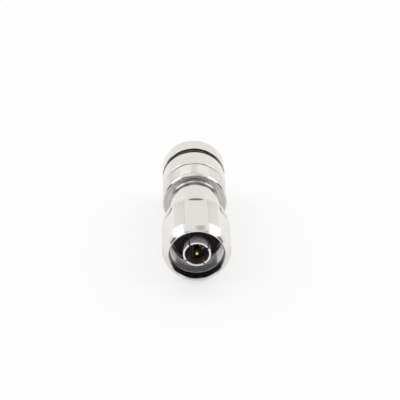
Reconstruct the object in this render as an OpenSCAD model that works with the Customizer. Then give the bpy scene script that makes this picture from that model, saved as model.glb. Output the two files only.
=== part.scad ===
// Screw-on coaxial plug of the N series: 50 ohm, clamp type, for a 10.3 mm cable.
// The plug lies on its side. Its axis is the Y axis: the mating end points to -Y and the
// cable leaves to +Y. The origin is on the axis at the reference plane, which is the front
// end of the outer contact, so every station below is a distance behind that plane.

/* [Mating interface] */
// Outside diameter of the slotted outer contact
contact_d = 8.2; // [7.9:0.05:8.4]
// Wall thickness of the outer contact's fingers
contact_wall = 0.6; // [0.4:0.05:0.7]
// Length of the outer contact's full-diameter land
contact_land_l = 7; // [3:0.5:8]
// Number of slots that part the outer contact into fingers
slot_count = 4; // [3:1:6]
// Width of each slot
slot_w = 0.5; // [0.3:0.05:0.8]
// Direction of the first slot, counter-clockwise from +X as seen from the mating end
slot_angle = 33; // [0:1:89]
// Diameter of the centre pin
pin_d = 1.65; // [1.5:0.05:1.8]
// Diameter of the inner conductor behind the pin
conductor_d = 3.04; // [2.8:0.02:3.2]
// Major diameter of the coupling thread, 5/8-24
coupling_thread_d = 15.88; // [15.7:0.01:16]
// Distance from the reference plane to the face that the jack seals against
seat_depth = 9.7; // [9.2:0.1:10.2]

/* [Coupling nut] */
// Wall between the nut's thread relief and its six wrench flats
nut_wall = 1.4; // [1.2:0.05:2]
// How far the corners, the barrel and the clamp nut's head stand above the flats
flat_depth = 0.6; // [0.4:0.05:0.8]
// Length of the nut
nut_l = 17.7; // [17:0.1:20]
// How far the nut's mouth stands ahead of the outer contact
nut_overhang = 0.8; // [0.3:0.1:1.5]
// Radius of the rounded nose
nose_r = 5; // [4.4:0.1:5.6]
// Ridges of the straight knurl in each corner
ridge_count = 7; // [5:1:9]
// Depth of the straight knurl
ridge_depth = 0.25; // [0.15:0.05:0.3]
// How far the plain collar behind the flats lies below the corners
collar_inset = 0.2; // [0.05:0.05:0.4]
// Length of the plain collar
collar_l = 1.8; // [1.2:0.1:2]

/* [Body] */
// How far the neck that the nut turns on lies inside the nut's thread relief
neck_inset = 0.25; // [0.2:0.05:0.4]
// Length of neck between the nut and the barrel
neck_l = 12.05; // [10.5:0.05:16]
// Radius of the hollow that blends the neck into the barrel
neck_fillet = 0.7; // [0.5:0.1:1.5]
// Length of the barrel
barrel_l = 14.95; // [14.5:0.05:18]
// Length of the barrel's diamond-knurled band
band_l = 5.96; // [4:0.02:8]
// Distance from the barrel's front to the band
band_setback = 1.45; // [1:0.05:3]
// Distance between the knurl's crossing grooves, round the barrel
knurl_pitch = 0.91; // [0.8:0.05:2]
// Depth of the knurl
knurl_depth = 0.25; // [0.15:0.05:0.3]

/* [Cable clamp] */
// Outside diameter of the cable that the clamp takes
cable_d = 10.3; // [9.6:0.1:10.8]
// Diameter of the cable's inner insulation
core_d = 7.25; // [6.8:0.05:7.4]
// Diameter of the cable's centre wire
wire_d = 2.75; // [2.2:0.05:2.85]
// How far the clamp nut is still unscrewed
clamp_gap = 2.4; // [1:0.1:3]
// Major diameter of the clamp nut's thread
clamp_thread_d = 18; // [17.8:0.1:18.2]
// Length of the clamp nut's head
head_l = 5.8; // [5.2:0.1:8]

/* [Hidden] */
$fn = 96;
// Radial clearance of one piece that turns in another
run = 0.1;
// Radial clearance of loose rings and of the clamp's thread
loose = 0.05;
// Side clearance of a ring in its groove
groove_side = 0.05;
// Small chamfer that breaks a turned edge
edge = 0.2;
// Finer chamfer on a contact or a rubber ring
fine_edge = 0.1;
// Overshoot of cutting tools
cut = 1;

// Radii of the mating interface
contact_r = contact_d / 2;
contact_bore_r = contact_r - contact_wall;
contact_relief = 0.2;
contact_root_r = contact_r - contact_relief;
conductor_r = conductor_d / 2;
thread_major_r = coupling_thread_d / 2;
thread_depth = 0.573;
thread_minor_r = thread_major_r - thread_depth;
mouth_clearance = 0.11;
relief_clearance = 0.16;
mouth_r = thread_major_r + mouth_clearance;
relief_r = thread_major_r + relief_clearance;

// Stations of the coupling nut
flat_r = relief_r + nut_wall;
nut_r = flat_r + flat_depth;
collar_r = nut_r - collar_inset;
nut_front = -nut_overhang;
nut_rear = nut_front + nut_l;
collar_front = nut_rear - collar_l;
collar_chamfer = 0.6;
nose_centre = nut_front + 0.75 * nose_r;
// How far the nose's round passes over the ridges, so that they run out on it
nose_proud = 0.05;
counterbore_l = 3.3;
thread_front = nut_front + counterbore_l;
thread_runout = 1.4;
thread_rear = seat_depth - thread_runout;
relief_l = 3;

// Stations of the gasket, the body's front face and the insulators
gasket_t = 0.8;
gasket_inset = 0.5;
face = seat_depth + gasket_t;
base_step = 0.9;
base_l = 5;
base_web = 1;
contact_base_r = contact_r + base_step;
bead_front = face + base_web;
bead_rear = face + base_l;
bead_step = 0.7;
bead_r = contact_bore_r + bead_step;

// The neck's two ring grooves, inside the nut
neck_r = relief_r - neck_inset;
nut_bore_r = neck_r + run;
snap_setback = 1.9;
snap_front = face + snap_setback;
snap_l = 1.2;
snap_root = 0.65;
snap_root_r = neck_r - snap_root;
snap_reach = 0.45;
snap_ring_r = nut_bore_r + snap_reach;
snap_gap = 4;
seal_land = 1;
seal_front = snap_front + snap_l + seal_land;
seal_groove_l = 1.4;
seal_root = 0.85;
seal_root_r = neck_r - seal_root;
seal_clearance = 0.02;
seal_section_r = (nut_bore_r - seal_clearance - seal_root_r) / 2;

// Stations of the barrel
barrel_front = nut_rear + neck_l;
barrel_rear = barrel_front + barrel_l;
band_front = barrel_front + band_setback;
band_rear = band_front + band_l;
line_w = 0.2;
knurl_r = nut_r - knurl_depth;
knurl_bed = 0.1;
knurl_root = 0.3;
bead_chamfer = 0.5;

// The rear insulator and what lies behind it, in one bore of the neck
chamber_l = 8.95;
chamber_front = barrel_front - chamber_l;
insulator_l = 4;
retainer_front = chamber_front + insulator_l;
retainer_l = 1.4;
core_clearance = 0.6;
core_bore_r = core_d / 2 + core_clearance;
retainer_wall = 1.175;
chamber_r = core_bore_r + retainer_wall;
dielectric_washer_t = 0.8;
pin_collar_step = 0.75;
pin_collar_r = conductor_r + pin_collar_step;
pin_collar_l = 1;
cup_step = 0.38;
cup_r = conductor_r + cup_step;
cup_clearance = 0.05;
cup_bore_r = wire_d / 2 + cup_clearance;

// The braid clamp sits on a cone that opens from the chamber to the clamp's bore
clamp_bore_r = 8.2;
cone_setback = 2.05;
cone_rear = barrel_front + cone_setback;
cone_front = cone_rear - (clamp_bore_r - chamber_r);
ring_r = clamp_bore_r - loose;
sleeve_front = retainer_front + retainer_l;
sleeve_clearance = 0.08;
sleeve_wall = 0.25;
sleeve_in_r = core_d / 2 + sleeve_clearance;
sleeve_out_r = sleeve_in_r + sleeve_wall;
sleeve_flange_t = 0.8;
sleeve_overlap = 1;
sleeve_rear = cone_rear + sleeve_overlap;
braid_t = 0.35;
braid_bore_r = sleeve_out_r + braid_t;
braid_clamp_l = 1.3;
braid_clamp_rear = cone_rear + braid_clamp_l;
ridge_h = 0.8;
ridge_r = (cable_d / 2 + ring_r) / 2;

// The rings behind the braid clamp, and how far the clamp nut can still drive in
cable_gasket_l = 3.5;
cable_gasket_clearance = 0.1;
gasket_rear = braid_clamp_rear + cable_gasket_l;
washer_t = 0.8;
stack_rear = gasket_rear + washer_t;
thrust_front = stack_rear + clamp_gap;
shank_front = thrust_front + washer_t;
clamp_thread_setback = 0.5;
clamp_thread_front = stack_rear + clamp_thread_setback;

// The clamp nut
shank_r = clamp_thread_d / 2;
clamp_thread_bore_r = shank_r + loose;
head_front = barrel_rear + clamp_gap;
head_rear = head_front + head_l;
cable_bore_clearance = 0.25;
cable_bore_r = cable_d / 2 + cable_bore_clearance;
washer_bore_r = cable_bore_r + cable_bore_clearance;
undercut_l = 1.1;
nut_seal_section_r = 0.45;
undercut_r = shank_r - 2 * nut_seal_section_r;
entry_step = 2;
entry_r = cable_bore_r + entry_step;
entry_l = 3.4;
cable_seal_l = 2.2;
cable_seal_r = cable_d / 2 + loose;
entry_ring_l = 1;
entry_front = head_rear - entry_l;

// Lays a lathe-turned shape, built along +Z, on its side along +Y
module lie() {
    rotate([-90, 0, 0]) children();
}

// Turns a half section, drawn as [radius, station], about the plug's axis
module turned() {
    lie() rotate_extrude() children();
}

// Half section of a plain ring or tube
module ring_section(inner, outer, front, rear) {
    translate([inner, front]) square([outer - inner, rear - front]);
}

// Half section of a ring with its four edges broken by a chamfer
module eased_section(inner, outer, front, rear, ease) {
    polygon([
        [inner + ease, front], [outer - ease, front], [outer, front + ease],
        [outer, rear - ease], [outer - ease, rear], [inner + ease, rear],
        [inner, rear - ease], [inner, front + ease]
    ]);
}

// Half section of an O-ring
module o_ring_section(inner, section_r, centre) {
    translate([inner + section_r, centre]) circle(section_r);
}

// ---- Coupling nut ----

// Points of one knurled corner: ridges and valleys between two wrench flats
function corner_points(middle) =
    let (half = 30 - acos(flat_r / nut_r), step = half / ridge_count)
    [for (i = [0 : 2 * ridge_count])
        let (
            angle = middle - half + i * step,
            r = nut_r - (i % 2) * ridge_depth
        )
        [r * cos(angle), r * sin(angle)]
    ];

// Cross section of the gripping part: six flats with a knurled corner between each two
module grip_section() {
    polygon([for (k = [0 : 5]) each corner_points(60 * k)]);
}

// Outer half section of the gripping part, with its rounded nose
module nose_section() {
    nose_x = nut_r + nose_proud - nose_r;
    translate([0, nose_centre]) square([nut_r + cut, collar_front - nose_centre]);
    translate([0, nut_front]) square([nose_x, nose_centre - nut_front]);
    intersection() {
        translate([nose_x, nose_centre]) circle(nose_r);
        translate([0, nut_front]) square([nut_r + cut, nose_centre - nut_front]);
    }
}

// Half section of everything that is bored out of the nut, from the mouth backwards
module nut_bore_section() {
    lead = mouth_r - thread_minor_r;
    relief_lead = relief_r - thread_minor_r;
    polygon([
        [0, nut_front - cut], [mouth_r + edge + cut, nut_front - cut],
        [mouth_r, nut_front + edge],
        [mouth_r, thread_front], [thread_minor_r, thread_front + lead],
        [thread_minor_r, thread_rear], [relief_r, thread_rear + relief_lead],
        [relief_r, thread_rear + relief_l], [nut_bore_r, thread_rear + relief_l],
        [nut_bore_r, nut_rear + cut], [0, nut_rear + cut]
    ]);
    ring_section(0, snap_ring_r + run, snap_front - run, snap_front + snap_l + run);
}

module coupling_nut() {
    color([0.90, 0.89, 0.87]) difference() {
        union() {
            intersection() {
                turned() nose_section();
                lie() translate([0, 0, nut_front - cut])
                    linear_extrude(collar_front - nut_front + cut) grip_section();
            }
            turned() polygon([
                [0, collar_front - edge], [flat_r - edge, collar_front - edge],
                [collar_r, collar_front], [collar_r, nut_rear - collar_chamfer],
                [collar_r - collar_chamfer, nut_rear], [0, nut_rear]
            ]);
        }
        turned() nut_bore_section();
    }
}

// Open spring ring that keeps the nut on the neck
module coupling_snap_ring() {
    color([0.80, 0.66, 0.40]) difference() {
        turned() ring_section(
            snap_root_r, snap_ring_r,
            snap_front + groove_side, snap_front + snap_l - groove_side
        );
        lie() translate([0, -snap_gap / 2, snap_front - cut])
            cube([nut_r, snap_gap, snap_l + 2 * cut]);
    }
}

module coupling_seal() {
    color([0.10, 0.10, 0.11]) turned()
        o_ring_section(seal_root_r, seal_section_r, seal_front + seal_groove_l / 2);
}

// ---- Mating interface ----

module interface_gasket() {
    color([0.10, 0.10, 0.11]) turned()
        eased_section(
            contact_root_r, neck_r - gasket_inset, seat_depth, face, fine_edge
        );
}

// Slotted spring ring, pressed into the body from the front
module outer_contact() {
    slot_l = 8;
    color([0.88, 0.88, 0.88]) difference() {
        turned() polygon([
            [contact_bore_r + fine_edge, 0], [contact_r, 0], [contact_r, contact_land_l],
            [contact_root_r, contact_land_l + contact_relief], [contact_root_r, face],
            [contact_base_r, face], [contact_base_r, bead_rear],
            [bead_r, bead_rear], [bead_r, bead_front],
            [contact_bore_r, bead_front], [contact_bore_r, fine_edge]
        ]);
        for (i = [0 : slot_count - 1])
            lie() rotate([0, 0, -slot_angle - i * 360 / slot_count])
                translate([0, -slot_w / 2, -cut]) cube([contact_d, slot_w, slot_l + cut]);
    }
}

// One turned pin: tapered tip, pin, conductor, collar and solder cup
module centre_contact() {
    tip_r = 0.45;
    tip_front = 0.26;
    tip_l = 1.1;
    shoulder = 5.3;
    shoulder_edge = 0.15;
    cup_floor = 0.4;
    hole_d = 1;
    color([0.85, 0.68, 0.35]) difference() {
        turned() polygon([
            [0, tip_front], [tip_r, tip_front], [pin_d / 2, tip_front + tip_l],
            [pin_d / 2, shoulder], [conductor_r - shoulder_edge, shoulder],
            [conductor_r, shoulder + shoulder_edge],
            [conductor_r, chamber_front - pin_collar_l],
            [pin_collar_r, chamber_front - pin_collar_l], [pin_collar_r, chamber_front],
            [cup_r, chamber_front], [cup_r, retainer_front],
            [cup_bore_r, retainer_front], [cup_bore_r, chamber_front + cup_floor],
            [0, chamber_front + cup_floor - cup_bore_r / 2]
        ]);
        lie() translate([0, 0, chamber_front + insulator_l / 2])
            rotate([90, 0, 0]) cylinder(d = hole_d, h = 2 * cup_r);
    }
}

// Bead with a compensating groove in each face
module bead_section(inner, outer, front, rear) {
    groove_l = 0.6;
    groove_in = inner + 0.25 * (outer - inner);
    groove_out = outer - 0.3 * (outer - inner);
    difference() {
        ring_section(inner, outer, front, rear);
        ring_section(groove_in, groove_out, front - cut, front + groove_l);
        ring_section(groove_in, groove_out, rear - groove_l, rear + cut);
    }
}

module front_insulator() {
    color([0.95, 0.95, 0.93]) turned()
        bead_section(conductor_r, bead_r, bead_front, bead_rear);
}

module rear_insulator() {
    color([0.95, 0.95, 0.93]) turned()
        bead_section(cup_r, chamber_r, chamber_front, retainer_front);
}

// Ring pressed behind the rear insulator
module insulator_retainer() {
    color([0.80, 0.68, 0.42]) turned()
        ring_section(core_bore_r, chamber_r, retainer_front, retainer_front + retainer_l);
}

// Disc between the pin's cup and the cable's inner insulation
module dielectric_washer() {
    color([0.95, 0.95, 0.93]) turned()
        ring_section(
            cup_bore_r, core_bore_r,
            retainer_front, retainer_front + dielectric_washer_t
        );
}

// ---- Body ----

// Outer half section: neck with two ring grooves, hollow blend, and barrel
module body_outline() {
    difference() {
        union() {
            polygon([
                [0, face], [neck_r - edge, face], [neck_r, face + edge],
                [neck_r, barrel_front + cut], [0, barrel_front + cut]
            ]);
            translate([0, barrel_front - neck_fillet])
                square([neck_r + neck_fillet, neck_fillet + cut]);
            polygon([
                [0, barrel_front], [nut_r - bead_chamfer, barrel_front],
                [nut_r, barrel_front + bead_chamfer],
                [nut_r, barrel_rear - edge], [nut_r - edge, barrel_rear],
                [0, barrel_rear]
            ]);
        }
        translate([neck_r + neck_fillet, barrel_front - neck_fillet])
            circle(neck_fillet);
        ring_section(snap_root_r, nut_r, snap_front, snap_front + snap_l);
        ring_section(seal_root_r, nut_r, seal_front, seal_front + seal_groove_l);
        ring_section(
            knurl_r - knurl_bed, nut_r + cut,
            band_front - line_w / 2, band_rear + line_w / 2
        );
    }
}

// Half section of the bores, from the outer contact's seat to the clamp nut's thread
module body_bore_section() {
    polygon([
        [0, face - cut], [contact_base_r, face - cut], [contact_base_r, bead_rear],
        [contact_bore_r, bead_rear], [contact_bore_r, chamber_front],
        [chamber_r, chamber_front], [chamber_r, cone_front],
        [clamp_bore_r, cone_rear], [clamp_bore_r, clamp_thread_front],
        [clamp_thread_bore_r, clamp_thread_front],
        [clamp_thread_bore_r, barrel_rear - edge],
        [clamp_thread_bore_r + edge, barrel_rear],
        [clamp_thread_bore_r + edge, barrel_rear + cut], [0, barrel_rear + cut]
    ]);
}

// Ring whose wall is a grid with every other corner raised, so that its facets stand
// as diamonds between crossed grooves
module diamond_knurl(front, rear) {
    columns = 2 * round(2 * PI * nut_r / knurl_pitch);
    rows = 2 * round((rear - front) / knurl_pitch) + 1;
    inner_front = columns * (rows + 1);
    inner_rear = inner_front + columns;
    points = concat(
        [for (j = [0 : rows], i = [0 : columns - 1])
            let (
                peak = (i + j) % 2 == 0 && j > 0 && j < rows,
                r = peak ? nut_r : knurl_r,
                angle = i * 360 / columns
            )
            [r * cos(angle), r * sin(angle), front + j * (rear - front) / rows]
        ],
        [for (z = [front, rear], i = [0 : columns - 1])
            let (r = knurl_r - knurl_root, angle = i * 360 / columns)
            [r * cos(angle), r * sin(angle), z]
        ]
    );
    wall = [for (j = [0 : rows - 1], i = [0 : columns - 1])
        let (
            a = j * columns + i,
            b = j * columns + (i + 1) % columns,
            c = a + columns,
            d = b + columns
        )
        each (i + j) % 2 == 0 ? [[a, c, b], [b, c, d]] : [[a, d, b], [a, c, d]]
    ];
    rest = [for (i = [0 : columns - 1])
        let (n = (i + 1) % columns, last = inner_front - columns)
        each [
            [i, n, inner_front + n, inner_front + i],
            [last + n, last + i, inner_rear + i, inner_rear + n],
            [inner_front + i, inner_front + n, inner_rear + n, inner_rear + i]
        ]
    ];
    polyhedron(points, concat(wall, rest));
}

module main_body() {
    color([0.87, 0.85, 0.83]) {
        turned() difference() {
            body_outline();
            body_bore_section();
        }
        lie() diamond_knurl(band_front + line_w / 2, band_rear - line_w / 2);
    }
}

// ---- Cable clamp ----

// Thin flanged sleeve that slips between the cable's insulation and its braid
module braid_sleeve() {
    color([0.80, 0.68, 0.42]) turned() union() {
        ring_section(sleeve_in_r, sleeve_out_r, sleeve_front, sleeve_rear);
        ring_section(
            sleeve_in_r, chamber_r - loose,
            sleeve_front, sleeve_front + sleeve_flange_t
        );
    }
}

// Tapered ring that pinches the braid against the cone, with a ridge behind
module braid_clamp() {
    color([0.80, 0.68, 0.42]) turned() polygon([
        [braid_bore_r, cone_front], [chamber_r, cone_front],
        [ring_r, cone_rear - loose], [ring_r, braid_clamp_rear],
        [ridge_r + ridge_h, braid_clamp_rear], [ridge_r, braid_clamp_rear + ridge_h],
        [ridge_r - ridge_h, braid_clamp_rear], [braid_bore_r, braid_clamp_rear]
    ]);
}

// Rubber ring that the clamp squeezes onto the cable, with a groove for the ridge
module cable_gasket() {
    gasket_in_r = cable_d / 2 + cable_gasket_clearance;
    color([0.55, 0.15, 0.10]) turned() polygon([
        [gasket_in_r, braid_clamp_rear], [ridge_r - ridge_h, braid_clamp_rear],
        [ridge_r, braid_clamp_rear + ridge_h], [ridge_r + ridge_h, braid_clamp_rear],
        [ring_r, braid_clamp_rear], [ring_r, gasket_rear], [gasket_in_r, gasket_rear]
    ]);
}

module gasket_washer() {
    color([0.80, 0.68, 0.42]) turned()
        ring_section(washer_bore_r, ring_r, gasket_rear, stack_rear);
}

// Slip washer that the clamp nut drives forward without turning the gasket
module thrust_washer() {
    color([0.80, 0.68, 0.42]) turned()
        ring_section(washer_bore_r, ring_r, thrust_front, shank_front);
}

// Threaded shank, undercut and round head, bored for the cable
module clamp_nut() {
    color([0.88, 0.86, 0.83]) turned() difference() {
        union() {
            polygon([
                [0, shank_front], [shank_r - 2 * edge, shank_front],
                [shank_r, shank_front + 2 * edge], [shank_r, head_front + edge],
                [0, head_front + edge]
            ]);
            polygon([
                [0, head_front], [nut_r - edge, head_front],
                [nut_r, head_front + edge], [nut_r, head_rear - 2 * edge],
                [nut_r - 2 * edge, head_rear], [0, head_rear]
            ]);
        }
        ring_section(undercut_r, nut_r, head_front - undercut_l, head_front);
        ring_section(0, cable_bore_r, shank_front - cut, head_rear);
        ring_section(0, entry_r, entry_front, head_rear + cut);
    }
}

module clamp_nut_seal() {
    color([0.10, 0.10, 0.11]) turned()
        o_ring_section(undercut_r, nut_seal_section_r, head_front - undercut_l / 2);
}

// Rubber ring that closes the entry round the cable
module cable_seal() {
    color([0.10, 0.10, 0.11]) turned()
        eased_section(
            cable_seal_r, entry_r, entry_front, entry_front + cable_seal_l, edge
        );
}

// Ring pressed into the entry behind the rubber ring
module seal_retainer() {
    color([0.80, 0.68, 0.42]) turned()
        ring_section(
            washer_bore_r, entry_r,
            entry_front + cable_seal_l, entry_front + cable_seal_l + entry_ring_l
        );
}

coupling_nut();
coupling_snap_ring();
coupling_seal();
interface_gasket();
outer_contact();
centre_contact();
front_insulator();
rear_insulator();
insulator_retainer();
dielectric_washer();
main_body();
braid_sleeve();
braid_clamp();
cable_gasket();
gasket_washer();
thrust_washer();
clamp_nut();
clamp_nut_seal();
cable_seal();
seal_retainer();
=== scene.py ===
"""Dresses a clamp-type coaxial plug: plated metal, knurls, threads, rubber and its studio.

The plug's axis is +Y, its mating face looks along -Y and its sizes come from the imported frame.
"""

import logging
import math
from dataclasses import dataclass, field, replace
from enum import Enum

import bpy
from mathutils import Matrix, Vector


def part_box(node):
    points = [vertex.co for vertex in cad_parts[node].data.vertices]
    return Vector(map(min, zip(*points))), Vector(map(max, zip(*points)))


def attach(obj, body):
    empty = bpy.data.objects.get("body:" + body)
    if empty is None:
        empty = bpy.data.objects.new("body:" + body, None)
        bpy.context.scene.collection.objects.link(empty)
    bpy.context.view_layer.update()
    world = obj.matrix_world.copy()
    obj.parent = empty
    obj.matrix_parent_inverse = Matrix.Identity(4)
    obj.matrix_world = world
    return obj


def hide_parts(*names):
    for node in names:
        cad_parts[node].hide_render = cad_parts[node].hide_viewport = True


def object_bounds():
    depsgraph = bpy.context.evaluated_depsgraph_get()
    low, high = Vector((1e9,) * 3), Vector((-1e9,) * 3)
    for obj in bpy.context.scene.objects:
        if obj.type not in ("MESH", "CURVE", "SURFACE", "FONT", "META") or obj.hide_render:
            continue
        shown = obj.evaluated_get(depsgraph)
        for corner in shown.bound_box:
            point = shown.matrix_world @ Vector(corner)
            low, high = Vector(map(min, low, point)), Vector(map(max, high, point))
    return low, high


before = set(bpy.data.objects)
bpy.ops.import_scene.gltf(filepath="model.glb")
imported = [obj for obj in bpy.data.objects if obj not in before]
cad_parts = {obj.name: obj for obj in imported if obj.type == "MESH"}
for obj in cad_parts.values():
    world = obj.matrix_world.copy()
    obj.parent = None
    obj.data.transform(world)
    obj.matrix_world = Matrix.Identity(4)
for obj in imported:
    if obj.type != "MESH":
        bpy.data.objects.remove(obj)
cad_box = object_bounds()

log = logging.getLogger("coaxial_plug")

# A millimetre in metres, and the segments round a turned piece
MM = 0.001
STEPS = 192
# Millimetres that part one place of a mesh from the next, and that equal radii differ by at most
NEAR = 0.01
SAME = 0.001
# Edges sharper than this many degrees are rounded, in this many parts
SHARP_EDGE = 25.0
EDGE_PARTS = 2
# Degrees between the corners of the coupling nut
HEX = 60.0
# Usual scales of the surface effects, and how deep their bumps are in millimetres
LATHE_LINES = 6000.0
MARK_SCALE = 260.0
CLOUD_SCALE = 90.0
BUMP_DEPTH = 0.004
# Attribute that marks the grooves of the nut's grip, where the material paints shade into the
# colour
GROOVE = "groove"

Point = tuple[float, float]
Span = tuple[float, float]
Section = list[Point]
Triple = tuple[float, float, float]
Piece = bpy.types.Object
Socket = bpy.types.NodeSocket
Tree = bpy.types.NodeTree


class Body(Enum):
    """Bodies of the frame that a piece can ride on."""

    PLUG = "plug_body"
    COUPLING = "coupling"
    CLAMP = "clamp"


@dataclass(frozen=True)
class Stretch:
    """Where a turned node begins and ends along the axis, and its outer radius, in millimetres."""

    front: float
    rear: float
    radius: float

    @classmethod
    def of(cls, node: str) -> "Stretch":
        """Reads the stretch of one node from the frame.

        Args:
            node: Name of the CAD node.

        Returns:
            Its front and rear stations and its radius.
        """
        low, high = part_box(node)
        return cls(low[1] / MM, high[1] / MM, (high[0] - low[0]) / 2 / MM)

    @classmethod
    def read(cls, node: str) -> "Stretch":
        """A dataclass field that reads the stretch of one node."""
        return field(default_factory=lambda: cls.of(node))


# ---- Shaping ----


def select_none() -> None:
    """Leaves object mode's selection empty."""
    bpy.ops.object.select_all(action="DESELECT")


def pick(piece: Piece) -> None:
    """Makes one piece the only selected and active one.

    Args:
        piece: The piece.
    """
    select_none()
    piece.select_set(True)
    bpy.context.view_layer.objects.active = piece


def select_open_rings() -> None:
    """Selects the first and the last ring of a turned surface in edit mode."""
    bpy.ops.mesh.select_all(action="DESELECT")
    bpy.ops.mesh.select_mode(type="EDGE")
    bpy.ops.mesh.select_non_manifold(
        extend=False, use_wire=False, use_multi_face=False,
        use_non_contiguous=False, use_verts=False,
    )


def face_outwards() -> None:
    """Turns all faces outwards in edit mode and leaves it."""
    bpy.ops.mesh.select_all(action="SELECT")
    bpy.ops.mesh.normals_make_consistent(inside=False)
    bpy.ops.object.mode_set(mode="OBJECT")


def turn(name: str, section: Section, steps: int = STEPS, solid: bool = False) -> Piece:
    """Turns a half section about the plug's axis, drawing a ring out from corner to corner.

    Args:
        name: Name of the piece.
        section: Corners as (radius, station) in millimetres, in order round the section.
        steps: Segments round the axis.
        solid: Whether both ends are closed by a disc instead of a bore wall.

    Returns:
        The closed piece with its faces outwards.
    """
    select_none()
    radius, station = section[0]
    bpy.ops.mesh.primitive_circle_add(
        vertices=steps, radius=radius * MM,
        location=(0, station * MM, 0), rotation=(math.pi / 2, 0, 0),
    )
    piece = bpy.context.active_object
    piece.name = name
    bpy.ops.object.transform_apply(location=True, rotation=True, scale=True)
    bpy.ops.object.mode_set(mode="EDIT")
    bpy.ops.mesh.select_all(action="SELECT")
    for next_radius, next_station in section[1:]:
        shift = (0, (next_station - station) * MM, 0)
        bpy.ops.mesh.extrude_region_move(TRANSFORM_OT_translate={"value": shift})
        growth = next_radius / radius
        bpy.ops.transform.resize(
            value=(growth, 1, growth), center_override=(0, next_station * MM, 0)
        )
        radius, station = next_radius, next_station
    select_open_rings()
    if solid:
        bpy.ops.mesh.fill_holes(sides=0)
    else:
        bpy.ops.mesh.bridge_edge_loops()
    face_outwards()
    return piece


def arc(centre: Point, radius: float, start: float, end: float, parts: int) -> Section:
    """Corners along an arc of a half section.

    Args:
        centre: Its (radius, station) in millimetres.
        radius: Radius of the arc in millimetres.
        start: First angle in degrees, from outwards (0) towards the rear (90).
        end: Last angle in degrees.
        parts: Straight parts that stand for the arc.

    Returns:
        The corners from start to end.
    """
    angles = [math.radians(start + (end - start) * i / parts) for i in range(parts + 1)]
    return [(centre[0] + radius * math.cos(a), centre[1] + radius * math.sin(a)) for a in angles]


def saw_out(piece: Piece, tool: Piece) -> None:
    """Cuts a tool out of a piece and uses the tool up.

    Args:
        piece: The piece to cut.
        tool: The closed shape that is cut out of it.
    """
    pick(piece)
    bpy.ops.object.modifier_add(type="BOOLEAN")
    modifier = piece.modifiers[-1]
    modifier.operation = "DIFFERENCE"
    modifier.object = tool
    modifier.solver = "EXACT"
    bpy.ops.object.modifier_apply(modifier=modifier.name)
    bpy.data.meshes.remove(tool.data)


def soften(piece: Piece, width: float, shade: float = 35) -> None:
    """Rounds the sharp edges of a piece and shades the rest smooth.

    Args:
        piece: The piece to finish.
        width: Width of the rounding in millimetres, or 0 for none.
        shade: Least angle in degrees between faces that stays sharp.
    """
    pick(piece)
    if width:
        bpy.ops.object.modifier_add(type="BEVEL")
        modifier = piece.modifiers[-1]
        modifier.width = width * MM
        modifier.segments = EDGE_PARTS
        modifier.limit_method = "ANGLE"
        modifier.angle_limit = math.radians(SHARP_EDGE)
        bpy.ops.object.modifier_apply(modifier=modifier.name)
    bpy.ops.object.shade_smooth_by_angle(angle=math.radians(shade))


@dataclass(frozen=True)
class Thread:
    """A single-start screw thread: a ridge that winds round the axis, in millimetres."""

    root: float
    crest: float
    pitch: float
    front: float
    rear: float
    root_share: float = 0.48
    crest_share: float = 0.09
    steps: int = 96

    def build(self, name: str) -> Piece:
        """Winds the ridge from a flat four-cornered section.

        Args:
            name: Name of the piece.

        Returns:
            The closed ridge.
        """
        select_none()
        bpy.ops.mesh.primitive_plane_add(size=MM)
        piece = bpy.context.active_object
        piece.name = name
        half_root, half_crest = self.root_share * self.pitch, self.crest_share * self.pitch
        first = self.front + half_root
        corners = [
            (self.root, first - half_root), (self.crest, first - half_crest),
            (self.root, first + half_root), (self.crest, first + half_crest),
        ]
        for vertex, (radius, station) in zip(piece.data.vertices, corners):
            vertex.co = (radius * MM, station * MM, 0)
        turns = (self.rear - self.front - 2 * half_root) / self.pitch
        bpy.ops.object.modifier_add(type="SCREW")
        modifier = piece.modifiers[-1]
        modifier.axis = "Y"
        modifier.angle = math.tau * turns
        modifier.screw_offset = turns * self.pitch * MM
        modifier.steps = round(self.steps * turns)
        modifier.render_steps = modifier.steps
        bpy.ops.object.modifier_apply(modifier=modifier.name)
        bpy.ops.object.mode_set(mode="EDIT")
        bpy.ops.mesh.select_all(action="SELECT")
        bpy.ops.mesh.remove_doubles(threshold=SAME * MM)
        bpy.ops.mesh.fill_holes(sides=len(corners))
        face_outwards()
        return piece


# ---- Surface effects shared by the finishes ----


def new_group(
    name: str, inputs: dict[str, float], output: str
) -> tuple[Tree, bpy.types.NodeOutputs, Socket]:
    """Starts a shader node group that reads a place on the object.

    Args:
        name: Name of the group.
        inputs: Its number inputs and their defaults, beside its input Place.
        output: Its number output.

    Returns:
        The group, what its input node gives and what its output node takes.
    """
    group = bpy.data.node_groups.new(name, "ShaderNodeTree")
    group.interface.new_socket("Place", in_out="INPUT", socket_type="NodeSocketVector")
    for label, value in inputs.items():
        socket = group.interface.new_socket(label, in_out="INPUT", socket_type="NodeSocketFloat")
        socket.default_value = value
    group.interface.new_socket(output, in_out="OUTPUT", socket_type="NodeSocketFloat")
    given = group.nodes.new("NodeGroupInput").outputs
    return group, given, group.nodes.new("NodeGroupOutput").inputs[output]


def calc(tree: Tree, operation: str, *values: Socket | float) -> Socket:
    """Adds a Math node.

    Args:
        tree: The tree it goes in.
        operation: Its operation.
        values: Numbers or sockets for its inputs.

    Returns:
        Its output.
    """
    node = tree.nodes.new("ShaderNodeMath")
    node.operation = operation
    for socket, value in zip(node.inputs, values):
        if isinstance(value, Socket):
            tree.links.new(value, socket)
        else:
            socket.default_value = value
    return node.outputs[0]


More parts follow.
